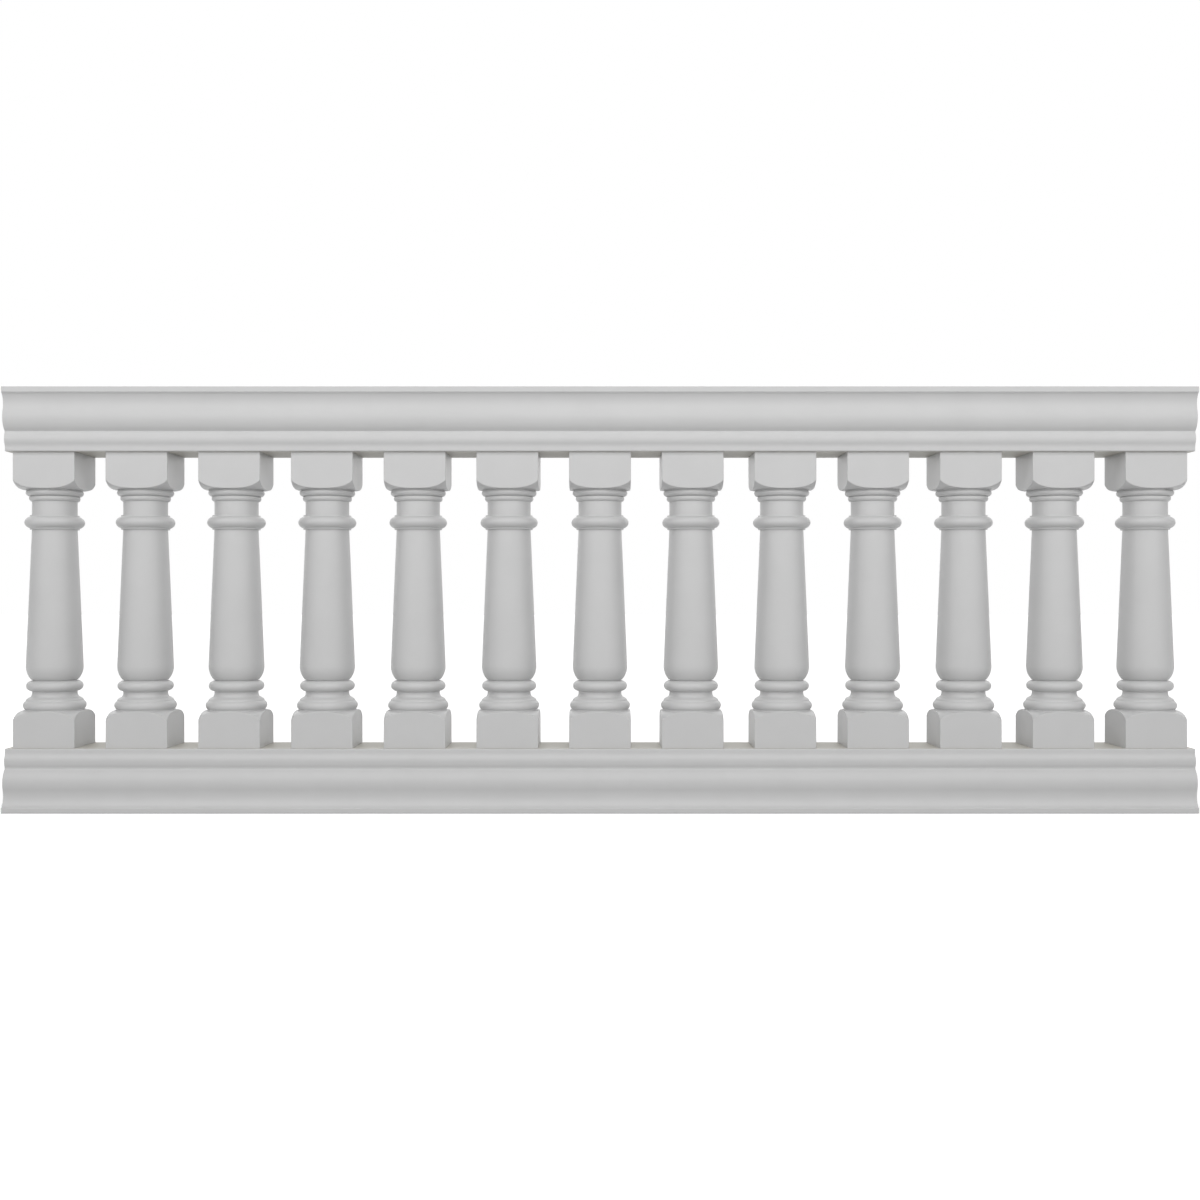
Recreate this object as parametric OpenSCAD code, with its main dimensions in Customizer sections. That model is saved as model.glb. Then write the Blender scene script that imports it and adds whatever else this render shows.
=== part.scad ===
// Moulded fiberglass balustrade: a hollow top rail and bottom rail with turned
// balusters between them, each threaded on a steel pipe that pins it to both rails.
// X runs along the rails, Y is the depth and Z is up. The origin is on the floor,
// under the middle of the bottom rail.

/* [Overall] */
// Length of both rails
rail_length = 2438.4; // [900:0.1:3600]
// Height of a baluster from rail to rail
baluster_height = 609.6; // [450:0.1:900]
// Distance between the centres of neighbouring balusters
baluster_spacing = 190.5; // [170:0.1:260]

/* [Fiberglass] */
// Thickness of the moulded laminate
wall = 6.35; // [3:0.05:9]

/* [Baluster block] */
// Width of the square blocks at both ends of a baluster
block_width = 127; // [104:0.1:160]
// Height of a block down to the middle of its face
block_height = 75; // [50:0.1:100]
// Height over which the lathe has rounded the corners of a block
shoulder_rise = 17.5; // [8:0.1:30]
// Distance from the block face in to where the rounding starts
shoulder_inset = 5; // [2:0.1:8]

/* [Baluster turning] */
// Depth of the necks below the block face
neck_cut = 18.4; // [12:0.1:24]
// Height of the plain rim between a block and the first moulding
rim_height = 2; // [1:0.1:6]
// Depth of the quarter round under the top block
ovolo_cut = 6.1; // [2:0.1:10]
// Height of the quarter round under the top block
ovolo_height = 11.4; // [6:0.1:20]
// Depth of the bead under the quarter round
bead_cut = 12.7; // [8:0.1:16]
// Height of the bead under the quarter round
bead_height = 10.5; // [4:0.1:12]
// Height of the upper neck
neck_height = 29.2; // [15:0.1:50]
// Depth of the collar below the upper neck
collar_cut = 3.6; // [0:0.1:8]
// Height of the collar below the upper neck
collar_height = 23.6; // [12:0.1:35]
// Depth of the fillets above and below the collar
fillet_cut = 14.1; // [9:0.1:17]
// Height of a fillet
fillet_height = 3; // [1:0.1:5]
// Depth of the shaft at its widest
shaft_cut = 6.4; // [0:0.1:12]
// Height of the rounded foot of the shaft
shaft_foot_height = 27.4; // [15:0.1:45]
// Height of the narrow groove below the shaft
shaft_quirk_height = 2.2; // [1:0.1:5]
// Depth of the ring below the shaft
ring_cut = 6.7; // [0:0.1:10]
// Height of the ring below the shaft
ring_height = 22; // [12:0.1:35]
// Height of the lower neck
low_neck_height = 2.9; // [1:0.1:8]
// Height of the hollow curve above the base
cove_height = 8.8; // [4:0.1:16]
// Depth of the small quarter round on top of the base
base_ovolo_cut = 6.1; // [3:0.1:10]
// Height of the small quarter round on top of the base
base_ovolo_height = 8.1; // [3:0.1:12]
// Depth of the round base at its widest
base_cut = 0.5; // [0:0.1:4]
// Height of the round base
base_height = 17.7; // [10:0.1:28]

/* [Rail mouldings, from the balusters outwards] */
// How far the narrow face of the rail stands out past the blocks
rail_reveal = 8.1; // [0:0.1:20]
// Height of the flat band beside the narrow face
band_height = 7.2; // [5:0.1:20]
// Height over which the band swells out to the crown of the bead
bead_rise_height = 17.6; // [9:0.1:26]
// Height from the crown of the bead to the groove beyond it
bead_fall_height = 13.2; // [7:0.1:20]
// How far the bead stands out past the band
rail_bead_out = 4.5; // [2:0.1:10]
// Height of the flat bottom of the groove beyond the bead
groove_height = 3.6; // [1:0.1:6]
// How far the bottom of the groove stands out past the band
groove_out = 1.2; // [0:0.1:2]
// Height from the groove to the widest part of the belly
belly_height = 27.7; // [15:0.1:45]
// How far the belly stands out past the band
belly_out = 13.7; // [6:0.1:20]
// Height from the widest belly to the deepest hollow
ogee_height = 26.9; // [12:0.1:45]
// How far the hollow stands out past the band
hollow_out = 9.2; // [2:0.1:13]
// Height from the deepest hollow to the step under the lip
hollow_height = 19.8; // [10:0.1:35]
// How far the moulding under the lip stands out past the band
throat_out = 15.5; // [8:0.1:22]
// Height of the slanted step under the lip
step_height = 2; // [1:0.1:5]
// How far the lip stands out past the band
lip_out = 19.4; // [12:0.1:30]
// Height of the flat lip
lip_height = 12.175; // [8:0.025:25]
// Size of the small bevel on the long edges of a rail
edge_ease = 1.5; // [0.5:0.1:3]

/* [Steel pipe] */
// Outside diameter of the pipe
pipe_diameter = 33.4; // [20:0.1:42]
// Wall of the pipe
pipe_wall = 3.4; // [2:0.1:5]
// How far the pipe stands out past each end of a baluster
pipe_projection = 44.4; // [15:0.1:80]
// Play all round the pipe in the fiberglass
pipe_clearance = 0.3; // [0.1:0.05:1]

/* [Hidden] */
// Straight steps in each curve of a moulding
curve_steps = 7;
// Height of one step of the hollow in a baluster, and in a rail
turned_core_step = 12;
rail_core_step = 8;
// How far a cutting shape runs past what it cuts
cut_extra = 1;
// Rise of an outline at a square edge, so that its heights only rise
draft = 0.3;
$fn = 64;

// Degrees that each curve turns through, where 90 is a full quarter round
shoulder_turn = 58;
base_turn = 50;
base_ovolo_turn = 45;
cove_turn = 60;
ring_turn = 84;
shaft_foot_turn = 45;
ovolo_turn = 75;
bead_turn = 70;
collar_turn = 65;
bead_rise_turn = 29;
bead_fall_turn = 34;
belly_turn = 49;
ogee_turn = 21;
throat_turn = 35;

block_half = block_width / 2;
corner_radius = block_half * sqrt(2);
half_height = baluster_height / 2;
shoulder_level = half_height - block_height;
band_half = block_half + rail_reveal;
rail_height = band_height + bead_rise_height + bead_fall_height + groove_height
    + belly_height + ogee_height + hollow_height + step_height + lip_height;
baluster_middle = rail_height + half_height;
pipe_length = baluster_height + 2 * pipe_projection;
pipe_hole = pipe_diameter + 2 * pipe_clearance;

// As many balusters as stand wholly on the rail, centred on it
baluster_count = floor((rail_length - block_width) / baluster_spacing) + 1;
baluster_numbers = [1 : baluster_count];

function baluster_x(i) = (i - (baluster_count + 1) / 2) * baluster_spacing;
function numbered(name, i) = str(name, i < 10 ? "_0" : "_", i);

// Curve that leaves point a upright and turns through the given angle on its way to b
function curve(a, b, turn) = [
    for (i = [0 : curve_steps])
        let (angle = turn * i / curve_steps)
        [
            a[0] + (b[0] - a[0]) * (1 - cos(angle)) / (1 - cos(turn)),
            a[1] + (b[1] - a[1]) * sin(angle) / sin(turn)
        ]
];

function reversed(points) = [for (i = [len(points) - 1 : -1 : 0]) points[i]];
function flipped(points) = [for (p = points) [p[1], p[0]]];

// Round moulding that swells from a to its crown and falls back to b
function swell(a, crown, b, turn) =
    concat(reversed(curve(crown, a, turn)), curve(crown, b, turn));

// Outer width at a height, read off an outline whose heights only rise
function width_at(outline, level) = lookup(level, flipped(outline));

// Width inside the laminate: the least outer width within one core step, less the wall
function core_width(outline, level, step) =
    min([for (shift = [-step : step / 6 : step]) width_at(outline, level + shift)]) - wall;

// Levels from one height to another in equal steps of about the given size
function levels(low, high, step) =
    let (count = ceil((high - low) / step))
    [for (i = [0 : count]) low + (high - low) * i / count];

// ---- Baluster -------------------------------------------------------------

function turned(cut) = block_half - cut;

// Depths where one moulding of the turning gives way to the next
base_rim_cut = base_cut + 3.8;
cove_lip_cut = neck_cut - 3.2;
shaft_edge_cut = neck_cut - 1.6;
shaft_quirk_cut = neck_cut + 0.8;
ovolo_quirk_cut = ovolo_cut + 2.4;
bead_quirk_cut = bead_cut + 2.4;
bead_foot_cut = neck_cut - 1.6;
collar_edge_cut = fillet_cut - 0.8;

// Turned profile as [radius, height] from the bottom shoulder up to the shaft
base_level = rim_height;
base_crown_level = base_level + base_height * 0.45;
base_ovolo_level = base_level + base_height;
cove_level = base_ovolo_level + base_ovolo_height;
low_neck_level = cove_level + cove_height;
ring_level = low_neck_level + low_neck_height;
ring_top_level = ring_level + ring_height;
shaft_foot_level = ring_top_level + shaft_quirk_height;
shaft_low = shaft_foot_level + shaft_foot_height;

foot_profile = concat(
    [[turned(shoulder_inset), -cut_extra]],
    [[turned(base_rim_cut), 0]],
    swell(
        [turned(base_rim_cut), base_level],
        [turned(base_cut), base_crown_level],
        [turned(base_ovolo_cut), base_ovolo_level - draft],
        base_turn
    ),
    curve(
        [turned(base_ovolo_cut), base_ovolo_level],
        [turned(cove_lip_cut), cove_level - draft],
        base_ovolo_turn
    ),
    reversed(curve(
        [turned(neck_cut), low_neck_level],
        [turned(cove_lip_cut), cove_level],
        cove_turn
    )),
    swell(
        [turned(neck_cut), ring_level],
        [turned(ring_cut), ring_level + ring_height / 2],
        [turned(shaft_edge_cut), ring_top_level - draft],
        ring_turn
    ),
    [
        [turned(shaft_quirk_cut), ring_top_level],
        [turned(shaft_quirk_cut), shaft_foot_level - draft]
    ],
    reversed(curve(
        [turned(shaft_cut), shaft_low],
        [turned(shaft_edge_cut), shaft_foot_level],
        shaft_foot_turn
    ))
);

// Turned profile as [radius, depth] from the top shoulder down to the shaft
ovolo_level = rim_height;
ovolo_crown_level = ovolo_level + ovolo_height * 0.35;
bead_level = ovolo_level + ovolo_height;
bead_crown_level = bead_level + bead_height * 0.4;
neck_level = bead_level + bead_height;
upper_fillet_level = neck_level + neck_height;
collar_level = upper_fillet_level + fillet_height;
lower_fillet_level = collar_level + collar_height;
shaft_high = lower_fillet_level + fillet_height;

head_profile = concat(
    [[turned(shoulder_inset), -cut_extra]],
    [[turned(ovolo_quirk_cut), 0]],
    swell(
        [turned(ovolo_quirk_cut), ovolo_level],
        [turned(ovolo_cut), ovolo_crown_level],
        [turned(bead_cut), bead_level - draft],
        ovolo_turn
    ),
    swell(
        [turned(bead_quirk_cut), bead_level],
        [turned(bead_cut), bead_crown_level],
        [turned(bead_foot_cut), neck_level],
        bead_turn
    ),
    [
        [turned(neck_cut), neck_level + draft],
        [turned(neck_cut), upper_fillet_level - draft],
        [turned(fillet_cut), upper_fillet_level],
        [turned(fillet_cut), collar_level - draft]
    ],
    swell(
        [turned(collar_edge_cut), collar_level],
        [turned(collar_cut), collar_level + collar_height / 2],
        [turned(collar_edge_cut), lower_fillet_level - draft],
        collar_turn
    ),
    [
        [turned(fillet_cut), lower_fillet_level],
        [turned(fillet_cut), shaft_high - draft],
        [turned(neck_cut), shaft_high]
    ]
);

// Whole turned outline as [radius, height] about the middle of the baluster
turned_outline = concat(
    [for (p = foot_profile) [p[0], p[1] - shoulder_level]],
    [for (p = reversed(head_profile)) [p[0], shoulder_level - p[1]]]
);

// Closed half outline of a turning, from its two ends in to the axis
function about_axis(outline) = concat(
    [[0, outline[0][1]]],
    outline,
    [[0, outline[len(outline) - 1][1]]]
);

// Square block above the shoulder level, its lower corners rounded on the lathe
module block() {
    rounding = flipped(curve(
        [0, turned(shoulder_inset)],
        [shoulder_rise, corner_radius],
        shoulder_turn
    ));
    rim = corner_radius + cut_extra;
    intersection() {
        translate([-block_half, -block_half, 0])
            cube([block_width, block_width, block_height]);
        rotate_extrude()
            polygon(concat([[0, 0]], rounding, [[rim, block_height], [0, block_height]]));
    }
}

module both_ends() {
    translate([0, 0, shoulder_level]) children();
    mirror([0, 0, 1]) translate([0, 0, shoulder_level]) children();
}

// Hollow of a block, square inside the laminate, behind its end wall
module block_core() {
    side = block_width - 2 * wall;
    translate([-side / 2, -side / 2, shoulder_rise])
        cube([side, side, block_height - shoulder_rise - wall]);
}

// Hollow that follows the turning from one block's hollow to the other's
module turned_core() {
    reach = shoulder_level + shoulder_rise;
    core = [
        for (level = levels(-reach, reach, turned_core_step))
            [core_width(turned_outline, level, turned_core_step), level]
    ];
    rotate_extrude() polygon(about_axis(core));
}

module baluster() {
    color("gainsboro")
        difference() {
            union() {
                rotate_extrude() polygon(about_axis(turned_outline));
                both_ends() block();
            }
            both_ends() block_core();
            turned_core();
            cylinder(d = pipe_hole, h = baluster_height + 2 * cut_extra, center = true);
        }
}

// ---- Steel pipe -----------------------------------------------------------

module steel_pipe() {
    color("darkgray")
        difference() {
            cylinder(d = pipe_diameter, h = pipe_length, center = true);
            cylinder(d = pipe_diameter - 2 * pipe_wall, h = pipe_length + 2 * cut_extra, center = true);
        }
}

// ---- Rails ----------------------------------------------------------------

// Levels of the mouldings, measured from the narrow face
crown_level = band_height + bead_rise_height;
groove_level = crown_level + bead_fall_height;
belly_start = groove_level + groove_height;
belly_level = belly_start + belly_height;
hollow_level = belly_level + ogee_height;
throat_level = hollow_level + hollow_height;
lip_level = throat_level + step_height;
rise_middle = [band_half + rail_bead_out / 2, (band_height + crown_level) / 2];
ogee_middle = [band_half + (belly_out + hollow_out) / 2, (belly_level + hollow_level) / 2];

// One side of the rail section as [half width, distance from the narrow face]
rail_side = concat(
    [[band_half - edge_ease, 0], [band_half, edge_ease]],
    curve([band_half, band_height], rise_middle, bead_rise_turn),
    reversed(curve([band_half + rail_bead_out, crown_level], rise_middle, bead_rise_turn)),
    curve(
        [band_half + rail_bead_out, crown_level],
        [band_half + groove_out, groove_level],
        bead_fall_turn
    ),
    reversed(curve(
        [band_half + belly_out, belly_level],
        [band_half + groove_out, belly_start],
        belly_turn
    )),
    curve([band_half + belly_out, belly_level], ogee_middle, ogee_turn),
    reversed(curve([band_half + hollow_out, hollow_level], ogee_middle, ogee_turn)),
    curve(
        [band_half + hollow_out, hollow_level],
        [band_half + throat_out, throat_level],
        throat_turn
    ),
    [
        [band_half + lip_out - edge_ease, lip_level],
        [band_half + lip_out, lip_level + edge_ease],
        [band_half + lip_out, rail_height - edge_ease],
        [band_half + lip_out - edge_ease, rail_height]
    ]
);

// The same side inside the laminate
rail_core_side = [
    for (level = levels(wall, rail_height - wall, rail_core_step))
        [core_width(rail_side, level, rail_core_step), level]
];

function both_sides(side) = concat(side, [for (p = reversed(side)) [-p[0], p[1]]]);

// Rail with its narrow face down on the plane z = 0 and its lip on top
module rail() {
    color("gainsboro")
        difference() {
            rotate([90, 0, 90])
                linear_extrude(rail_length, center = true)
                    polygon(both_sides(rail_side));
            rotate([90, 0, 90])
                linear_extrude(rail_length + 2 * cut_extra, center = true)
                    polygon(both_sides(rail_core_side));
            for (i = baluster_numbers)
                translate([baluster_x(i), 0, -cut_extra])
                    cylinder(d = pipe_hole, h = wall + 2 * cut_extra);
        }
}

module top_rail() {
    translate([0, 0, rail_height + baluster_height]) rail();
}

module bottom_rail() {
    translate([0, 0, rail_height]) mirror([0, 0, 1]) rail();
}

// Stands a child on the rails at the place of baluster number i
module in_row(i) {
    translate([baluster_x(i), 0, baluster_middle]) children();
}

bottom_rail();
top_rail();
for (i = baluster_numbers) {
    in_row(i) baluster();
    in_row(i) steel_pipe();
}
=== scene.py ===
"""Looks of a moulded fiberglass balustrade section: a top rail and a bottom rail with thirteen
turned balusters between them, each threaded on a steel pipe. X runs along the rails, Y is the
depth and Z is up. Shapes are worked out in millimetres and go into the meshes in metres."""

import math

import bmesh
import bpy
import numpy as np
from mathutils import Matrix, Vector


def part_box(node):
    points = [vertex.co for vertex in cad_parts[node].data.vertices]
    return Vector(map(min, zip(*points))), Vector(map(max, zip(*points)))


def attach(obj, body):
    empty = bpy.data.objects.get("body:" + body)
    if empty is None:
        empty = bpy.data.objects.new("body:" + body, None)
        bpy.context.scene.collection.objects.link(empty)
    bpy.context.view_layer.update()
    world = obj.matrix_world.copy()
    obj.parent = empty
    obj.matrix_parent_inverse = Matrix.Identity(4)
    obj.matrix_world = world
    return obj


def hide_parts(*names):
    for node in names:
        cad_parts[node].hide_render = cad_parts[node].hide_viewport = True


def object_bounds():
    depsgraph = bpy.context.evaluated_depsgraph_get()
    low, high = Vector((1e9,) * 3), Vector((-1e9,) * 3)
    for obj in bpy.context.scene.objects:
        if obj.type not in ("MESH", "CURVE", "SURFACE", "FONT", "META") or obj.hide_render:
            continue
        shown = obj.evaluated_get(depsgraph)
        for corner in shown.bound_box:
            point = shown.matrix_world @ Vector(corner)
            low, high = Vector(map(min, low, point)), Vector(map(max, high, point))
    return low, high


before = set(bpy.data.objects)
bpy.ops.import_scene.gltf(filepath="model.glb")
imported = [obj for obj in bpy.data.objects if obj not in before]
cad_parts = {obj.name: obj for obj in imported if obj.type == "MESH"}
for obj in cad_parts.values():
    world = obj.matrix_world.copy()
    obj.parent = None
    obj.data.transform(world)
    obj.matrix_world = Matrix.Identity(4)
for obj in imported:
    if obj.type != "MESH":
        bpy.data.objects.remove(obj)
cad_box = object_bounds()

MM = 0.001

# ---- Sizes of the real pieces, in millimetres, and turns of their curves, in degrees ----------

WALL = 6.35
GEL_COAT = 0.6
PIPE_HOLE_RADIUS = 17.0

# Square block at each end of a baluster, with a lathe-rounded shoulder towards the turning. The
# shoulder meets the turning at SHOULDER_LEVEL, counted from the baluster's middle.
BLOCK_HALF = 63.5
BLOCK_HEIGHT = 75.0
SHOULDER_LEVEL = 229.8
SHOULDER_RISE = 17.5
SHOULDER_START = 58.5
SHOULDER_END = BLOCK_HALF * math.sqrt(2)
SHOULDER_TURN = math.radians(58)
BLOCK_CORNER = 1.5
BLOCK_ARRIS = 0.8
BLOCK_END_EASE = 0.6

# Necks of the turning, and the rim that joins it to each block. Each CUT, here and below, is how
# far inside the block's face a part of the turning lies.
NECK_CUT = 18.4
RIM_HEIGHT = 2.0

# Turned foot, upwards from the bottom block: base, its ovolo, cove, neck, ring and shaft foot
BASE_RIM_CUT = 4.3
BASE_CUT = 0.5
BASE_HEIGHT = 17.7
BASE_CROWN_SHARE = 0.45
BASE_TURN = 50
BASE_OVOLO_CUT = 6.1
BASE_OVOLO_HEIGHT = 8.1
BASE_OVOLO_TURN = 45
COVE_LIP_CUT = 15.2
COVE_HEIGHT = 8.8
COVE_TURN = 60
LOW_NECK_HEIGHT = 2.9
RING_CUT = 6.7
RING_HEIGHT = 22.0
RING_TURN = 84
SHAFT_EDGE_CUT = 16.8
SHAFT_QUIRK_CUT = 19.2
SHAFT_QUIRK_HEIGHT = 2.2
SHAFT_CUT = 6.4
SHAFT_FOOT_HEIGHT = 27.4
SHAFT_FOOT_TURN = 45

# Turned head, downwards from the top block: ovolo, bead, neck, fillet, collar and fillet
OVOLO_QUIRK_CUT = 8.5
OVOLO_CUT = 6.1
OVOLO_HEIGHT = 11.4
OVOLO_CROWN_SHARE = 0.35
OVOLO_TURN = 75
BEAD_QUIRK_CUT = 15.1
BEAD_CUT = 12.7
BEAD_FOOT_CUT = 16.8
BEAD_HEIGHT = 10.5
BEAD_CROWN_SHARE = 0.4
BEAD_TURN = 70
NECK_HEIGHT = 29.2
FILLET_CUT = 14.1
FILLET_HEIGHT = 3.0
COLLAR_EDGE_CUT = 13.3
COLLAR_CUT = 3.6
COLLAR_HEIGHT = 23.6
COLLAR_TURN = 65
MOULDING_EASE = 0.5

# Side of a rail, from its narrow face to its lip: band, bead, groove, belly, hollow, throat and
# lip. Each OUT is how far a part stands out past the band.
BAND_HALF = 71.6
BAND_HEIGHT = 7.2
BEAD_RISE_HEIGHT = 17.6
BEAD_RISE_TURN = 29
BEAD_FALL_HEIGHT = 13.2
BEAD_FALL_TURN = 34
RAIL_BEAD_OUT = 4.5
GROOVE_HEIGHT = 3.6
GROOVE_OUT = 1.2
BELLY_HEIGHT = 27.7
BELLY_TURN = 49
BELLY_OUT = 13.7
OGEE_HEIGHT = 26.9
OGEE_TURN = 21
HOLLOW_OUT = 9.2
HOLLOW_HEIGHT = 19.8
HOLLOW_TURN = 35
THROAT_OUT = 15.5
STEP_HEIGHT = 2.0
LIP_OUT = 19.4
LIP_HEIGHT = 12.175
EDGE_EASE = 1.5

# ---- Fineness of the meshes ------------------------------------------------------------------

# Longest step along a curve, in millimetres and in degrees of its turn
CURVE_STEP = 1.45
CURVE_DEGREES = 7.0

# Points on each rounded edge, and rows from the turning out along a block's rounded shoulder
ROUNDING_POINTS = 5
SHOULDER_POINTS = 9

# Largest share of the way to the next point that a rounded edge takes up
ROUNDING_SHARE = 0.45

# A run longer than LONG_ROW gets a row BRACE inside each of its ends
LONG_ROW = 6.0
BRACE = 0.8

# Turn of an edge past which its shading stays crisp, and turn of a line past which it is rounded
CREASE = math.radians(35)
CORNER = math.radians(12)

# Points of a line, and points of a mesh, that are nearer than this count as one, in millimetres
SAME_POINT = 1e-6
WELD_DISTANCE = 0.005


# ---- Lines of moulding: arrays of (width, level) ---------------------------------------------

def curve(start, end, turn):
    """Leaves start upright and turns through `turn` degrees on its way to end: with an angle a that
    grows from 0 to turn, the width goes as 1 - cos(a) and the level as sin(a), both scaled to end."""
    start = np.array(start, float)
    end = np.array(end, float)
    steps = max(math.dist(start, end) / CURVE_STEP, turn / CURVE_DEGREES)
    full = math.radians(turn)
    angle = np.linspace(0, full, math.ceil(steps) + 1)
    share = np.stack([(1 - np.cos(angle)) / (1 - math.cos(full)), np.sin(angle) / math.sin(full)], 1)
    return start + (end - start) * share


def swell(start, crown, end, turn):
    """Round moulding: a curve from its crown back to start, turned round, then one on to end."""
    return np.vstack([curve(crown, start, turn)[::-1], curve(crown, end, turn)])


def joined(*lines):
    """One line after the other, without the points that repeat the point before them."""
    line = np.vstack(lines)
    moved = np.linalg.norm(np.diff(line, axis=0), axis=1) > SAME_POINT
    return line[np.concatenate([[True], moved])]


def bend(start, corner, end, count):
    """Parabola from start to end that is drawn towards corner: (1 - t)^2 start + 2t(1 - t) corner
    + t^2 end for t from 0 to 1. The points may be whole arrays; t runs along a new first axis."""
    start, corner, end = np.broadcast_arrays(start, corner, end)
    t = np.linspace(0, 1, count).reshape((count,) + (1,) * start.ndim)
    return (1 - t) ** 2 * start + 2 * t * (1 - t) * corner + t ** 2 * end


def eased(line, reach):
    """The line with each sharp corner replaced by a parabola that starts `reach` before it and ends
    `reach` after it, or a little less than half way to the next point if that is nearer."""
    at = line[1:-1]
    back = line[:-2] - at
    ahead = line[2:] - at
    back_length = np.linalg.norm(back, axis=1, keepdims=True)
    ahead_length = np.linalg.norm(ahead, axis=1, keepdims=True)
    cosine = -(back * ahead).sum(1) / (back_length * ahead_length)[:, 0]
    sharp = cosine < math.cos(CORNER)
    start = at + back * np.minimum(reach / back_length, ROUNDING_SHARE)
    end = at + ahead * np.minimum(reach / ahead_length, ROUNDING_SHARE)
    arcs = bend(start, at, end, ROUNDING_POINTS).transpose(1, 0, 2)
    arcs[~sharp, 0] = at[~sharp]
    kept = np.ones(arcs.shape[:2], bool)
    kept[~sharp, 1:] = False
    return np.vstack([line[:1], arcs[kept], line[-1:]])


def braced(line):
    """The line with a point added near both ends of each long straight run, so that the shading of
    a rounded edge stays at the edge."""
    run = np.diff(line, axis=0)
    length = np.linalg.norm(run, axis=1, keepdims=True)
    near = line[:-1] + run * BRACE / length
    far = line[1:] - run * BRACE / length
    kept = np.ones((len(run), 3), bool)
    kept[:, 1:] = length > LONG_ROW
    return np.vstack([np.stack([line[:-1], near, far], 1)[kept], line[-1:]])


# ---- Meshes ----------------------------------------------------------------------------------

def grid_faces(rows, columns, close_rows=False, close_columns=False):
    """Four-sided faces (row, column) of a grid whose points are numbered row by row. They face
    outwards when the rows rise and the columns go round anticlockwise."""
    row = np.arange(rows if close_rows else rows - 1)[:, None]
    column = np.arange(columns if close_columns else columns - 1)[None, :]
    next_row = (row + 1) % rows
    next_column = (column + 1) % columns
    corners = [row * columns + column, row * columns + next_column,
               next_row * columns + next_column, next_row * columns + column]
    return np.stack(corners, -1)


def add_piece(name, points, faces, finishes, face_finish=None):
    """Smooth-shaded mesh object from points in millimetres and faces of four point numbers.
    face_finish gives each face's place in finishes; without it all faces take the first."""
    mesh = bpy.data.meshes.new(name)
    mesh.from_pydata((points * MM).tolist(), [], faces.tolist())
    for finish in finishes:
        mesh.materials.append(finish)
    if face_finish is not None:
        mesh.polygons.foreach_set("material_index", face_finish.astype(np.int32))
    mesh.polygons.foreach_set("use_smooth", np.ones(len(faces), bool))
    piece = bpy.data.objects.new(name, mesh)
    bpy.context.scene.collection.objects.link(piece)
    return piece


def weld(piece):
    """Joins the patches of a piece where their edges meet and turns all faces outwards."""
    work = bmesh.new()
    work.from_mesh(piece.data)
    bmesh.ops.remove_doubles(work, verts=work.verts, dist=WELD_DISTANCE * MM)
    bmesh.ops.recalc_face_normals(work, faces=work.faces)
    work.to_mesh(piece.data)
    work.free()


# ---- Balusters -------------------------------------------------------------------------------

# Degrees from a corner of the block to each column of the mesh, close together on the rounding
COLUMN_OFFSETS = np.array([0, 0.25, 0.483, 0.685, 1.3, 3, 7, 12, 17, 22, 27, 32, 36.5, 41, 45])


def turned(cut):
    """Radius of the turning where it lies `cut` inside the block's face."""
    return BLOCK_HALF - cut


def block_outline():
    """Angle and radius of each column round a block, anticlockwise: the radius is where a ray from
    the middle leaves a square with rounded corners. Off the rounding it is half width / cos(angle
    from the face's middle); on it, it solves the circle about the rounding's own centre."""
    offsets = np.radians(np.concatenate([-COLUMN_OFFSETS[:0:-1][1:], COLUMN_OFFSETS]))
    centre = (BLOCK_HALF - BLOCK_CORNER) * math.sqrt(2)
    on_rounding = np.abs(offsets) <= math.atan2(
        BLOCK_CORNER * math.sin(math.pi / 4), centre + BLOCK_CORNER * math.cos(math.pi / 4))
    under_root = np.maximum(BLOCK_CORNER ** 2 - (centre * np.sin(offsets)) ** 2, 0)
    rounded = centre * np.cos(offsets) + np.sqrt(under_root)
    straight = BLOCK_HALF / np.cos(math.pi / 4 - np.abs(offsets))
    radius = np.where(on_rounding, rounded, straight)
    corners = np.radians([45, 135, 225, 315])
    return (corners[:, None] + offsets).ravel(), np.tile(radius, 4)


def underside(radius):
    """Height of a block's lathe-rounded underside: an arc that leaves SHOULDER_START level and
    steepens to SHOULDER_TURN at the block's corner."""
    share = np.clip((radius - SHOULDER_START) / (SHOULDER_END - SHOULDER_START), 0, 1)
    sine = share * math.sin(SHOULDER_TURN)
    return SHOULDER_RISE * (1 - np.sqrt(1 - sine ** 2)) / (1 - math.cos(SHOULDER_TURN))


def block_rows(inner, square):
    """Rows of (radius, height) over all columns of a block: from radius `inner` out along the
    underside, round the arris, up the wall, round the end's edge and in to the pipe's hole."""
    out = np.linspace(0, 1, SHOULDER_POINTS)[:, None]
    under = inner + (square - BLOCK_ARRIS - inner) * out
    foot = underside(square)

    def ring(radius, height):
        """One row at a radius and a height that are each a number or one value for each column."""
        return np.stack(np.broadcast_arrays(radius + 0 * square, height), -1)

    top = BLOCK_HEIGHT
    arris = bend(ring(square - BLOCK_ARRIS, underside(square - BLOCK_ARRIS)), ring(square, foot),
                 ring(square, foot + BLOCK_ARRIS), ROUNDING_POINTS)
    edge = bend(ring(square, top - BLOCK_END_EASE), ring(square, top),
                ring(square - BLOCK_END_EASE, top), ROUNDING_POINTS)
    return np.concatenate([
        ring(under, underside(under)),
        arris[1:],
        ring(square, foot + BLOCK_ARRIS + BRACE)[None],
        ring(square, top - BLOCK_END_EASE - BRACE)[None],
        edge,
        ring(square - BLOCK_END_EASE - BRACE, top)[None],
        ring(PIPE_HOLE_RADIUS, top)[None],
    ])


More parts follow.
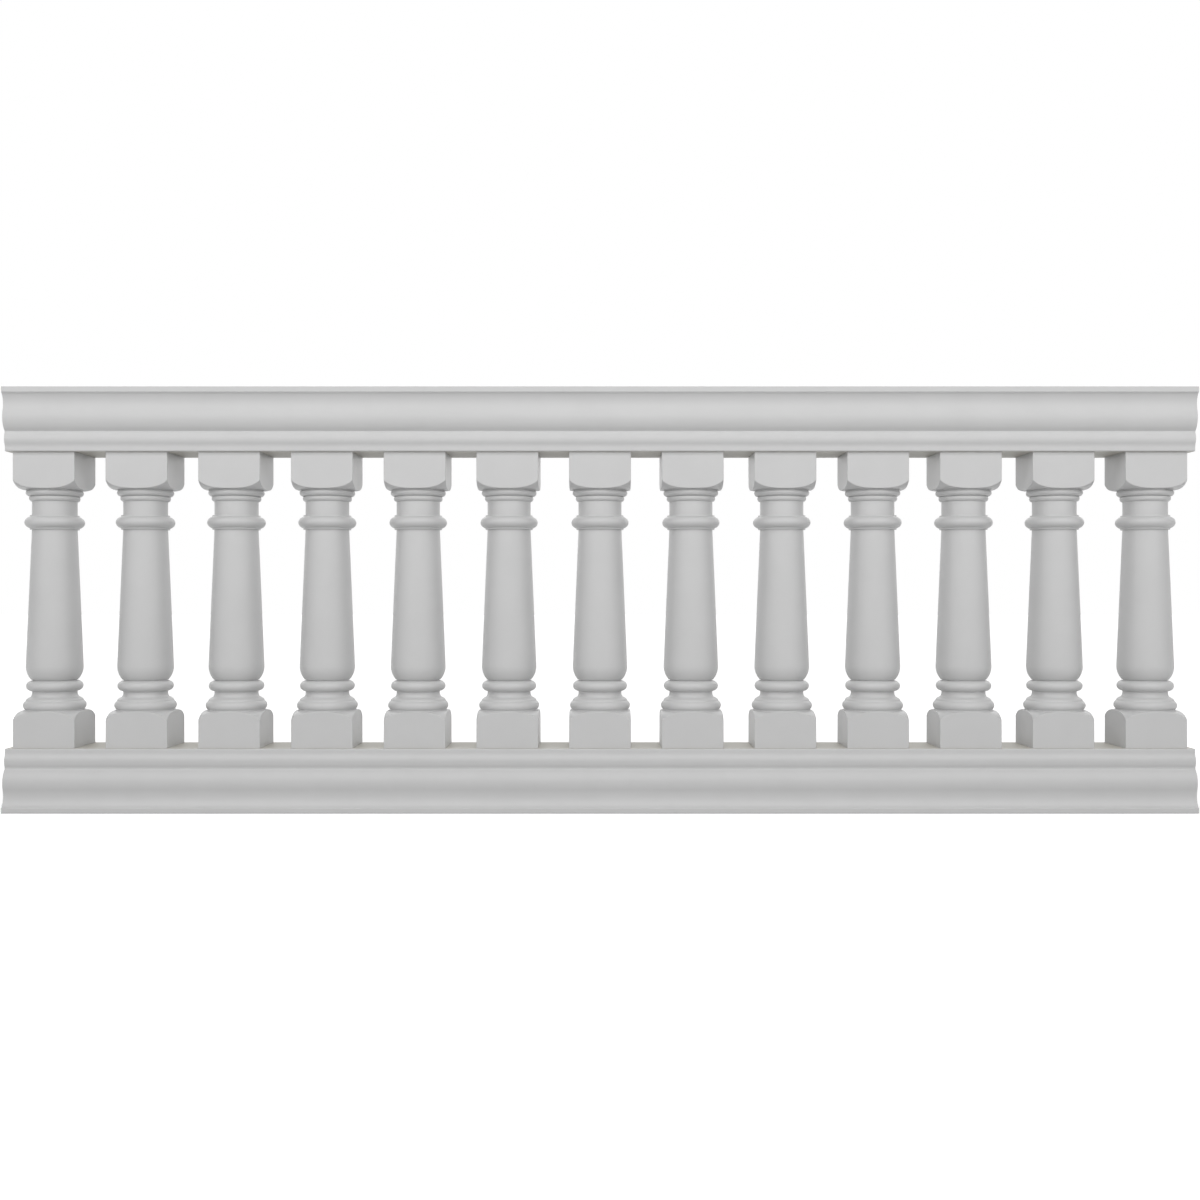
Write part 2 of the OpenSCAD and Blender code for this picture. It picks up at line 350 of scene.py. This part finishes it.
def turning():
    """Outline of the turned part as (radius, height from the baluster's middle), from the rim on
    the bottom block up to the rim under the top block."""
    base = RIM_HEIGHT
    base_crown = base + BASE_HEIGHT * BASE_CROWN_SHARE
    base_ovolo = base + BASE_HEIGHT
    cove = base_ovolo + BASE_OVOLO_HEIGHT
    low_neck = cove + COVE_HEIGHT
    ring = low_neck + LOW_NECK_HEIGHT
    ring_top = ring + RING_HEIGHT
    shaft_foot = ring_top + SHAFT_QUIRK_HEIGHT
    shaft_low = shaft_foot + SHAFT_FOOT_HEIGHT
    foot = joined(
        swell([turned(BASE_RIM_CUT), base], [turned(BASE_CUT), base_crown],
              [turned(BASE_OVOLO_CUT), base_ovolo], BASE_TURN),
        curve([turned(BASE_OVOLO_CUT), base_ovolo], [turned(COVE_LIP_CUT), cove], BASE_OVOLO_TURN),
        curve([turned(NECK_CUT), low_neck], [turned(COVE_LIP_CUT), cove], COVE_TURN)[::-1],
        swell([turned(NECK_CUT), ring], [turned(RING_CUT), ring + RING_HEIGHT / 2],
              [turned(SHAFT_EDGE_CUT), ring_top], RING_TURN),
        [[turned(SHAFT_QUIRK_CUT), ring_top], [turned(SHAFT_QUIRK_CUT), shaft_foot]],
        curve([turned(SHAFT_CUT), shaft_low], [turned(SHAFT_EDGE_CUT), shaft_foot],
              SHAFT_FOOT_TURN)[::-1],
    )
    ovolo = RIM_HEIGHT
    ovolo_crown = ovolo + OVOLO_HEIGHT * OVOLO_CROWN_SHARE
    bead = ovolo + OVOLO_HEIGHT
    bead_crown = bead + BEAD_HEIGHT * BEAD_CROWN_SHARE
    neck = bead + BEAD_HEIGHT
    upper_fillet = neck + NECK_HEIGHT
    collar = upper_fillet + FILLET_HEIGHT
    lower_fillet = collar + COLLAR_HEIGHT
    shaft_high = lower_fillet + FILLET_HEIGHT
    head = joined(
        swell([turned(OVOLO_QUIRK_CUT), ovolo], [turned(OVOLO_CUT), ovolo_crown],
              [turned(BEAD_CUT), bead], OVOLO_TURN),
        swell([turned(BEAD_QUIRK_CUT), bead], [turned(BEAD_CUT), bead_crown],
              [turned(BEAD_FOOT_CUT), neck], BEAD_TURN),
        [[turned(NECK_CUT), neck], [turned(NECK_CUT), upper_fillet],
         [turned(FILLET_CUT), upper_fillet], [turned(FILLET_CUT), collar]],
        swell([turned(COLLAR_EDGE_CUT), collar], [turned(COLLAR_CUT), collar + COLLAR_HEIGHT / 2],
              [turned(COLLAR_EDGE_CUT), lower_fillet], COLLAR_TURN),
        [[turned(FILLET_CUT), lower_fillet], [turned(FILLET_CUT), shaft_high],
         [turned(NECK_CUT), shaft_high]],
    )
    low = foot - [0, SHOULDER_LEVEL]
    high = head[::-1] * [1, -1] + [0, SHOULDER_LEVEL]
    return braced(eased(joined(low, high), MOULDING_EASE))


def baluster_grid():
    """Points (row, column) of a baluster about its own middle: each row has a radius and a height
    for every column, and lies at radius * cos(angle), radius * sin(angle), height."""
    angle, square = block_outline()
    low = block_rows(turned(BASE_RIM_CUT), square)[::-1] * [1, -1] - [0, SHOULDER_LEVEL]
    high = block_rows(turned(OVOLO_QUIRK_CUT), square) + [0, SHOULDER_LEVEL]
    outline = turning()
    middle = np.broadcast_to(outline[:, None, :], (len(outline), len(angle), 2))
    rows = np.concatenate([low, middle, high])
    return np.stack([rows[..., 0] * np.cos(angle), rows[..., 0] * np.sin(angle), rows[..., 1]], -1)


# ---- Rails -----------------------------------------------------------------------------------

# Patch of the narrow face that is laid out round one pipe's hole: half its length and half its
# width, the number of its parts along each, and its rings as shares of the way from its border to
# the hole
PATCH_HALF = 40.0
PATCH_DEPTH = 62.0
PATCH_LONG_PARTS = 4
PATCH_DEEP_PARTS = 12
PATCH_RINGS = np.array([0, 0.6, 1])

# Distances either way at which the outer width is looked up for the inner outline
NEARBY = np.linspace(-8, 8, 13)

# A point that is nearer than this to the plane of the narrow face counts as on it
ON_NARROW_FACE = 0.01

# Places of the four finishes in a rail's list
OUTSIDE = 0
INSIDE = 1
CUT = 2
CLOSING = 3


def rail_side():
    """One side of a rail as (half width, distance from the narrow face), out to the lip's face."""
    crown = BAND_HEIGHT + BEAD_RISE_HEIGHT
    groove = crown + BEAD_FALL_HEIGHT
    belly_start = groove + GROOVE_HEIGHT
    belly = belly_start + BELLY_HEIGHT
    hollow = belly + OGEE_HEIGHT
    throat = hollow + HOLLOW_HEIGHT
    lip = throat + STEP_HEIGHT
    face = lip + LIP_HEIGHT
    rise_middle = [BAND_HALF + RAIL_BEAD_OUT / 2, (BAND_HEIGHT + crown) / 2]
    ogee_middle = [BAND_HALF + (BELLY_OUT + HOLLOW_OUT) / 2, (belly + hollow) / 2]
    edge = BAND_HALF + LIP_OUT
    return joined(
        [[BAND_HALF - EDGE_EASE, 0], [BAND_HALF, EDGE_EASE]],
        curve([BAND_HALF, BAND_HEIGHT], rise_middle, BEAD_RISE_TURN),
        curve([BAND_HALF + RAIL_BEAD_OUT, crown], rise_middle, BEAD_RISE_TURN)[::-1],
        curve([BAND_HALF + RAIL_BEAD_OUT, crown], [BAND_HALF + GROOVE_OUT, groove], BEAD_FALL_TURN),
        curve([BAND_HALF + BELLY_OUT, belly], [BAND_HALF + GROOVE_OUT, belly_start],
              BELLY_TURN)[::-1],
        curve([BAND_HALF + BELLY_OUT, belly], ogee_middle, OGEE_TURN),
        curve([BAND_HALF + HOLLOW_OUT, hollow], ogee_middle, OGEE_TURN)[::-1],
        curve([BAND_HALF + HOLLOW_OUT, hollow], [BAND_HALF + THROAT_OUT, throat], HOLLOW_TURN),
        [[edge - EDGE_EASE, lip], [edge, lip + EDGE_EASE], [edge, face - EDGE_EASE],
         [edge - EDGE_EASE, face]],
    )


def rail_loops():
    """Outer and inner outline of a rail's section as (depth, distance from the narrow face). Both
    start with the strip of the narrow face that takes the holes. An inner point lies one wall in:
    its distance is the outer one squeezed between the two walls, and its depth is the least outer
    width nearby, less the wall, in the same share as the outer depth."""
    side = rail_side()
    strip = np.linspace(-PATCH_DEPTH, PATCH_DEPTH, PATCH_DEEP_PARTS + 1)
    strip = np.stack([strip, 0 * strip], 1)
    round_the_back = np.vstack([strip[-1:], side, side[::-1] * [-1, 1], strip[:1]])
    outer = np.vstack([strip, braced(eased(round_the_back, EDGE_EASE / 2))[1:-1]])

    height = side[-1, 1]
    distance = WALL + (height - 2 * WALL) * outer[:, 1] / height
    nearby = distance[:, None] + NEARBY
    core = np.interp(nearby, side[:, 1], side[:, 0]).min(1) - WALL
    width = np.interp(outer[:, 1], side[:, 1], side[:, 0])
    share = np.clip(outer[:, 0] / width, -1, 1)
    return outer, np.stack([core * share, distance], 1)


def along(loop, stations):
    """A section's loop carried along the rail: points (station, loop point) at (x, y, distance)."""
    count = (len(stations), len(loop))
    x = np.broadcast_to(stations[:, None], count)
    return np.stack([x, np.broadcast_to(loop[:, 0], count), np.broadcast_to(loop[:, 1], count)], -1)


def hole_patches(pipes, half_depth, level):
    """Flat patches round the pipes' holes: (pipe, ring, point). Each ring is blended between the
    patch's rectangular border and the hole's circle, point by point, both starting at one corner."""
    long_steps = np.linspace(-1, 1, PATCH_LONG_PARTS + 1)[:-1]
    deep_steps = np.linspace(-1, 1, PATCH_DEEP_PARTS + 1)[:-1]
    border = np.vstack([
        np.stack([long_steps, -np.ones(PATCH_LONG_PARTS)], 1),
        np.stack([np.ones(PATCH_DEEP_PARTS), deep_steps], 1),
        np.stack([-long_steps, np.ones(PATCH_LONG_PARTS)], 1),
        np.stack([-np.ones(PATCH_DEEP_PARTS), -deep_steps], 1),
    ]) * [PATCH_HALF, half_depth]
    turn = (np.arange(len(border)) - PATCH_LONG_PARTS / 2) / len(border) - 0.25
    circle = PIPE_HOLE_RADIUS * np.stack([np.cos(2 * np.pi * turn), np.sin(2 * np.pi * turn)], 1)
    blend = PATCH_RINGS[:, None, None]
    flat = border * (1 - blend) + circle * blend
    rings = np.concatenate([flat, np.full(flat.shape[:2] + (1,), level)], -1)
    return rings + np.stack([pipes, 0 * pipes, 0 * pipes], 1)[:, None, None, :]


def rail_parts(pipes, half_length):
    """Every surface of a rail as (points, faces, finish): the skins outside and inside without the
    strips round the holes, the patches there, the holes' walls and the two cut ends."""
    outer, inner = rail_loops()
    offsets = np.linspace(-PATCH_HALF, PATCH_HALF, PATCH_LONG_PARTS + 1)
    stations = np.concatenate([[-half_length], (pipes[:, None] + offsets).ravel(), [half_length]])
    loop_count = len(outer)
    skin = grid_faces(len(stations), loop_count, close_columns=True)
    kept = np.ones(skin.shape[:2], bool)
    # Between the runs at the rail's two ends, each patch's parts come before one run to the next
    in_patch = (np.arange(len(stations) - 3) % (PATCH_LONG_PARTS + 1)) < PATCH_LONG_PARTS
    kept[1:-1][in_patch, :PATCH_DEEP_PARTS] = False
    farther = np.maximum(outer[:, 1], np.roll(outer[:, 1], -1))
    narrow = np.broadcast_to(farther < ON_NARROW_FACE, kept.shape)
    outside = along(outer, stations)
    parts = [
        (outside, skin[kept & narrow], CLOSING),
        (outside, skin[kept & ~narrow], OUTSIDE),
        (along(inner, stations), skin[kept], INSIDE),
    ]

    inner_patch = inner[PATCH_DEEP_PARTS, 0]
    outer_rings = hole_patches(pipes, PATCH_DEPTH, 0.0)
    inner_rings = hole_patches(pipes, inner_patch, WALL)
    hole_walls = np.stack([outer_rings[:, -1], inner_rings[:, -1]], 1)
    for rings, finish in ((outer_rings, CLOSING), (inner_rings, INSIDE), (hole_walls, CUT)):
        pipe_count, ring_count, point_count = rings.shape[:3]
        one = grid_faces(ring_count, point_count, close_columns=True).reshape(-1, 4)
        every = one + (np.arange(pipe_count) * ring_count * point_count)[:, None, None]
        parts.append((rings, every, finish))

    inward = (inner - outer) / np.linalg.norm(inner - outer, axis=1, keepdims=True)
    coat_edge = outer + inward * GEL_COAT
    for end in (-half_length, half_length):
        for first, second, finish in ((outer, coat_edge, OUTSIDE), (coat_edge, inner, CUT)):
            rows = np.stack([first, second])
            points = np.concatenate([np.full(rows.shape[:2] + (1,), end), rows], -1)
            parts.append((points, grid_faces(2, loop_count, close_columns=True), finish))
    return parts


def add_rail(name, node, pipes, low_side_narrow):
    """A rail in place of its CAD node, with its narrow face on the node's lower or upper side."""
    low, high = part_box(node)
    parts = rail_parts(pipes, high.x / MM)
    points = np.vstack([part[0].reshape(-1, 3) for part in parts])
    starts = np.cumsum([0] + [part[0].size // 3 for part in parts[:-1]])
    faces = np.vstack([part[1].reshape(-1, 4) + start for part, start in zip(parts, starts)])
    finish = np.concatenate([np.full(part[1].size // 4, part[2]) for part in parts])
    if low_side_narrow:
        points[:, 2] = low.z / MM + points[:, 2]
    else:
        points[:, 2] = high.z / MM - points[:, 2]
    finishes = [gel_coat, laminate_inside, cut_laminate, closing_laminate]
    piece = add_piece(name, points, faces, finishes, finish)
    weld(piece)
    piece.data.set_sharp_from_angle(angle=CREASE)
    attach(piece, "root")
    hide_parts(node)


# ---- Finishes --------------------------------------------------------------------------------

def linear(hex_colour):
    """A colour written as sRGB hex, as the linear red, green, blue and alpha that shaders take."""
    srgb = np.array([int(hex_colour[i:i + 2], 16) for i in (1, 3, 5)]) / 255
    values = np.where(srgb <= 0.04045, srgb / 12.92, ((srgb + 0.055) / 1.055) ** 2.4)
    return (*values.tolist(), 1.0)


def per_metre(millimetres):
    """Scale of a texture whose pattern repeats about every so many millimetres."""
    return 1 / (millimetres * MM)


def add(tree, kind, inputs=None, **settings):
    """Adds a node. Settings go on the node itself; an input that is a socket is linked, and any
    other input is set as that socket's value."""
    node = tree.nodes.new(kind)
    for name, value in settings.items():
        setattr(node, name, value)
    for name, value in (inputs or {}).items():
        if isinstance(value, bpy.types.NodeSocket):
            tree.links.new(value, node.inputs[name])
        else:
            node.inputs[name].default_value = value
    return node


def new_material(name):
    """A material with an empty node tree, and that tree."""
    material = bpy.data.materials.new(name)
    material.use_nodes = True
    material.node_tree.nodes.clear()
    return material, material.node_tree


def gel_coat_white():
    """White polyester gel coat, sprayed into a polished mould: an even light grey-white satin skin.
    Its pigment clouds very faintly, and the mould leaves a slow waviness and a fine orange peel."""
    material, tree = new_material("polyester_gel_coat")
    place = add(tree, "ShaderNodeTexCoord").outputs["Object"]
    cloud = add(tree, "ShaderNodeTexNoise", {"Vector": place, "Scale": per_metre(70), "Detail": 3.0})
    colour = add(tree, "ShaderNodeMixRGB", {
        "Fac": cloud.outputs["Fac"], "Color1": linear("#CACACA"), "Color2": linear("#D0D0D0")})
    sheen = add(tree, "ShaderNodeTexNoise", {"Vector": place, "Scale": per_metre(25), "Detail": 2.0})
    roughness = add(tree, "ShaderNodeMapRange", {
        "Value": sheen.outputs["Fac"], "From Min": 0.3, "From Max": 0.7, "To Min": 0.40, "To Max": 0.46})
    wave = add(tree, "ShaderNodeTexNoise", {"Vector": place, "Scale": per_metre(45), "Detail": 1.0})
    waviness = add(tree, "ShaderNodeBump", {
        "Height": wave.outputs["Fac"], "Distance": 0.10 * MM, "Strength": 1.0})
    peel = add(tree, "ShaderNodeTexNoise", {"Vector": place, "Scale": per_metre(3), "Detail": 1.0})
    orange_peel = add(tree, "ShaderNodeBump", {
        "Height": peel.outputs["Fac"], "Distance": 0.02 * MM, "Strength": 1.0,
        "Normal": waviness.outputs["Normal"]})
    shader = add(tree, "ShaderNodeBsdfPrincipled", {
        "Base Color": colour.outputs["Color"], "Roughness": roughness.outputs["Result"],
        "Normal": orange_peel.outputs["Normal"], "IOR": 1.5})
    add(tree, "ShaderNodeOutputMaterial", {"Surface": shader.outputs["BSDF"]})
    return material


def chopped_mat_laminate():
    """Back of a chopped-strand laminate, laid up by hand: milky resin with glass bundles about a
    millimetre wide running every way, and a rough, half-wetted surface."""
    material, tree = new_material("chopped_mat_laminate")
    place = add(tree, "ShaderNodeTexCoord").outputs["Object"]
    strands = []
    for turn in ((0.3, 0.5, 0.2), (1.3, 0.4, 1.1), (0.6, 1.2, 2.2)):
        laid = add(tree, "ShaderNodeMapping", {
            "Vector": place, "Rotation": turn, "Scale": (1.0, 1.0, 0.06)})
        bundle = add(tree, "ShaderNodeTexNoise", {
            "Vector": laid.outputs["Vector"], "Scale": per_metre(2.5), "Detail": 2.0})
        strands.append(bundle.outputs["Fac"])
    crossed = add(tree, "ShaderNodeMath", {0: strands[0], 1: strands[1]}, operation="MAXIMUM")
    crossed = add(tree, "ShaderNodeMath", {0: crossed.outputs[0], 1: strands[2]}, operation="MAXIMUM")
    glass = add(tree, "ShaderNodeMapRange", {
        "Value": crossed.outputs[0], "From Min": 0.5, "From Max": 0.7, "To Min": 0.0, "To Max": 1.0})
    colour = add(tree, "ShaderNodeMixRGB", {
        "Fac": glass.outputs["Result"], "Color1": linear("#BDBBB1"), "Color2": linear("#D1D0C9")})
    relief = add(tree, "ShaderNodeBump", {
        "Height": glass.outputs["Result"], "Distance": 0.5 * MM, "Strength": 1.0})
    shader = add(tree, "ShaderNodeBsdfPrincipled", {
        "Base Color": colour.outputs["Color"], "Roughness": 0.6, "IOR": 1.55,
        "Normal": relief.outputs["Normal"]})
    add(tree, "ShaderNodeOutputMaterial", {"Surface": shader.outputs["BSDF"]})
    return material


def sawn_laminate():
    """Sawn edge of the laminate: dull cream, speckled by the cut ends of glass bundles and
    scored lightly by the saw."""
    material, tree = new_material("sawn_laminate")
    place = add(tree, "ShaderNodeTexCoord").outputs["Object"]
    speckle = add(tree, "ShaderNodeTexVoronoi", {"Vector": place, "Scale": per_metre(1.5)})
    colour = add(tree, "ShaderNodeMixRGB", {
        "Fac": speckle.outputs["Distance"], "Color1": linear("#CDCBC1"), "Color2": linear("#B5B3A7")})
    scored = add(tree, "ShaderNodeMapping", {"Vector": place, "Scale": (1.0, 0.05, 1.0)})
    score = add(tree, "ShaderNodeTexNoise", {
        "Vector": scored.outputs["Vector"], "Scale": per_metre(1.2), "Detail": 2.0})
    relief = add(tree, "ShaderNodeBump", {
        "Height": score.outputs["Fac"], "Distance": 0.15 * MM, "Strength": 1.0})
    shader = add(tree, "ShaderNodeBsdfPrincipled", {
        "Base Color": colour.outputs["Color"], "Roughness": 0.8, "IOR": 1.55,
        "Normal": relief.outputs["Normal"]})
    add(tree, "ShaderNodeOutputMaterial", {"Surface": shader.outputs["BSDF"]})
    return material


def closing_face():
    """Closing laminate of a rail's narrow face, rolled out by hand and left without gel coat: warm
    grey resin, blotched where it pooled, with the weave of the glass just showing through."""
    material, tree = new_material("rolled_closing_laminate")
    place = add(tree, "ShaderNodeTexCoord").outputs["Object"]
    pool = add(tree, "ShaderNodeTexNoise", {"Vector": place, "Scale": per_metre(60), "Detail": 4.0})
    colour = add(tree, "ShaderNodeMixRGB", {
        "Fac": pool.outputs["Fac"], "Color1": linear("#BBB7AC"), "Color2": linear("#CBC9C2")})
    strand = add(tree, "ShaderNodeTexNoise", {"Vector": place, "Scale": per_metre(4), "Detail": 2.0})
    relief = add(tree, "ShaderNodeBump", {
        "Height": strand.outputs["Fac"], "Distance": 0.2 * MM, "Strength": 1.0})
    shader = add(tree, "ShaderNodeBsdfPrincipled", {
        "Base Color": colour.outputs["Color"], "Roughness": 0.55, "IOR": 1.55,
        "Normal": relief.outputs["Normal"]})
    add(tree, "ShaderNodeOutputMaterial", {"Surface": shader.outputs["BSDF"]})
    return material


def drawn_steel():
    """Bright drawn steel pipe: a grey metal with fine lines along its length from the die, and
    faint warm clouding where oil has dried on it."""
    material, tree = new_material("drawn_steel_pipe")
    place = add(tree, "ShaderNodeTexCoord").outputs["Object"]
    drawn = add(tree, "ShaderNodeMapping", {"Vector": place, "Scale": (1.0, 1.0, 0.01)})
    line = add(tree, "ShaderNodeTexNoise", {
        "Vector": drawn.outputs["Vector"], "Scale": per_metre(1.0), "Detail": 2.0})
    cloud = add(tree, "ShaderNodeTexNoise", {"Vector": place, "Scale": per_metre(30), "Detail": 3.0})
    colour = add(tree, "ShaderNodeMixRGB", {
        "Fac": cloud.outputs["Fac"], "Color1": linear("#A8A39B"), "Color2": linear("#BFBCB8")})
    roughness = add(tree, "ShaderNodeMapRange", {
        "Value": line.outputs["Fac"], "From Min": 0.3, "From Max": 0.7, "To Min": 0.26, "To Max": 0.42})
    relief = add(tree, "ShaderNodeBump", {
        "Height": line.outputs["Fac"], "Distance": 0.02 * MM, "Strength": 1.0})
    shader = add(tree, "ShaderNodeBsdfPrincipled", {
        "Base Color": colour.outputs["Color"], "Metallic": 1.0,
        "Roughness": roughness.outputs["Result"], "Normal": relief.outputs["Normal"]})
    add(tree, "ShaderNodeOutputMaterial", {"Surface": shader.outputs["BSDF"]})
    return material


def seen_directly(tree):
    """1 on rays from the eye and on those that a gloss or a glass passes on, and 0 on all others."""
    ray = add(tree, "ShaderNodeLightPath").outputs
    either = add(tree, "ShaderNodeMath", {
        0: ray["Is Camera Ray"], 1: ray["Is Glossy Ray"]}, operation="MAXIMUM")
    either = add(tree, "ShaderNodeMath", {
        0: either.outputs[0], 1: ray["Is Transmission Ray"]}, operation="MAXIMUM")
    return either.outputs[0]


# Distances in metres over which the floor's glow grows to full, and its strength near the object
GLOW_START = 1.0
GLOW_FULL = 3.0
NEAR_GLOW = 0.46


def studio_floor():
    """Matt white studio floor. The eye sees it white where nothing shades it, because its own glow
    makes up for the lamps that fall off with distance, and the object's shadow lies on it. The
    object gets back only what a plain pale floor reflects."""
    material, tree = new_material("studio_floor")
    white = add(tree, "ShaderNodeBsdfDiffuse", {"Color": linear("#EEEEEE")})
    place = add(tree, "ShaderNodeTexCoord").outputs["Object"]
    distance = add(tree, "ShaderNodeVectorMath", {0: place}, operation="LENGTH").outputs["Value"]
    glow = add(tree, "ShaderNodeMapRange", {
        "Value": distance, "From Min": GLOW_START, "From Max": GLOW_FULL,
        "To Min": NEAR_GLOW, "To Max": 1.0})
    lift = add(tree, "ShaderNodeEmission", {
        "Color": (1, 1, 1, 1), "Strength": glow.outputs["Result"]})
    shown = add(tree, "ShaderNodeAddShader", {0: white.outputs[0], 1: lift.outputs[0]})
    bounce = add(tree, "ShaderNodeBsdfDiffuse", {"Color": linear("#DCDCDC")})
    either = add(tree, "ShaderNodeMixShader", {
        0: seen_directly(tree), 1: bounce.outputs[0], 2: shown.outputs[0]})
    add(tree, "ShaderNodeOutputMaterial", {"Surface": either.outputs[0]})
    return material


gel_coat = gel_coat_white()
laminate_inside = chopped_mat_laminate()
cut_laminate = sawn_laminate()
closing_laminate = closing_face()
steel = drawn_steel()

# ---- The pieces ------------------------------------------------------------------------------

numbers = [f"{i:02d}" for i in range(1, 14)]
grid = baluster_grid()
baluster_faces = grid_faces(*grid.shape[:2], close_rows=True, close_columns=True).reshape(-1, 4)
pipe_centres = []
for number in numbers:
    low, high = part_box("baluster_" + number)
    centre = np.array((low + high) / 2) / MM
    pipe_centres.append(centre[0])
    piece = add_piece("turned_baluster_" + number, (grid + centre).reshape(-1, 3), baluster_faces,
                      [gel_coat])
    piece.data.set_sharp_from_angle(angle=CREASE)
    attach(piece, "root")
    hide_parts("baluster_" + number)
    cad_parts["steel_pipe_" + number].material_slots[0].material = steel

pipe_centres = np.array(pipe_centres)
add_rail("moulded_top_rail", "top_rail", pipe_centres, low_side_narrow=True)
add_rail("moulded_bottom_rail", "bottom_rail", pipe_centres, low_side_narrow=False)

# ---- Floor, light and camera -----------------------------------------------------------------

# Half the floor's side, in metres
FLOOR_HALF = 40.0

# Strength of the world's white as a fill light on the object; seen directly it is full white
FILL_STRENGTH = 0.153

# Each softbox: its length and depth, how far out from the object and how high its middle is, in
# metres, and its tilt from straight down, in degrees, which aims it at the object's middle
SOFTBOX_LENGTH = 8.0
SOFTBOX_DEPTH = 2.2
SOFTBOX_OUT = 2.0
SOFTBOX_HEIGHT = 1.75
SOFTBOX_TILT = 56.8
FRONT_WATTS = 89.9
BACK_WATTS = 40.0

# The eye's distance from the object's middle, in metres, and its lens and film, in millimetres
EYE_DISTANCE = 3.0813
LENS = 44.08
FILM_WIDTH = 36.0

floor_mesh = bpy.data.meshes.new("floor")
floor_mesh.from_pydata(
    [(-FLOOR_HALF, -FLOOR_HALF, 0), (FLOOR_HALF, -FLOOR_HALF, 0), (FLOOR_HALF, FLOOR_HALF, 0),
     (-FLOOR_HALF, FLOOR_HALF, 0)], [], [(0, 1, 2, 3)])
floor_mesh.materials.append(studio_floor())
floor = bpy.data.objects.new("floor", floor_mesh)
bpy.context.scene.collection.objects.link(floor)

world = bpy.data.worlds.new("studio")
world.use_nodes = True
world.node_tree.nodes.clear()
strength = add(world.node_tree, "ShaderNodeMapRange", {
    "Value": seen_directly(world.node_tree), "To Min": FILL_STRENGTH, "To Max": 1.0})
background = add(world.node_tree, "ShaderNodeBackground", {
    "Color": (1, 1, 1, 1), "Strength": strength.outputs["Result"]})
add(world.node_tree, "ShaderNodeOutputWorld", {"Surface": background.outputs[0]})
bpy.context.scene.world = world


def add_softbox(name, side, watts):
    """Long level softbox above the object, in front of it where side is -1 and behind it where
    side is 1, turned about X towards it."""
    light = bpy.data.lights.new(name, "AREA")
    light.shape = "RECTANGLE"
    light.size = SOFTBOX_LENGTH
    light.size_y = SOFTBOX_DEPTH
    light.energy = watts
    lamp = bpy.data.objects.new(name, light)
    lamp.location = (0, side * SOFTBOX_OUT, SOFTBOX_HEIGHT)
    lamp.rotation_euler = (math.radians(-side * SOFTBOX_TILT), 0, 0)
    bpy.context.scene.collection.objects.link(lamp)


add_softbox("front_softbox", -1, FRONT_WATTS)
add_softbox("back_softbox", 1, BACK_WATTS)

camera_data = bpy.data.cameras.new("camera")
camera_data.lens = LENS
camera_data.sensor_width = FILM_WIDTH
camera = bpy.data.objects.new("camera", camera_data)
camera.location = (0, -EYE_DISTANCE, (cad_box[0][2] + cad_box[1][2]) / 2)
camera.rotation_euler = (math.radians(90), 0, 0)
bpy.context.scene.collection.objects.link(camera)
bpy.context.scene.camera = camera
bpy.context.scene.view_settings.view_transform = "Standard"
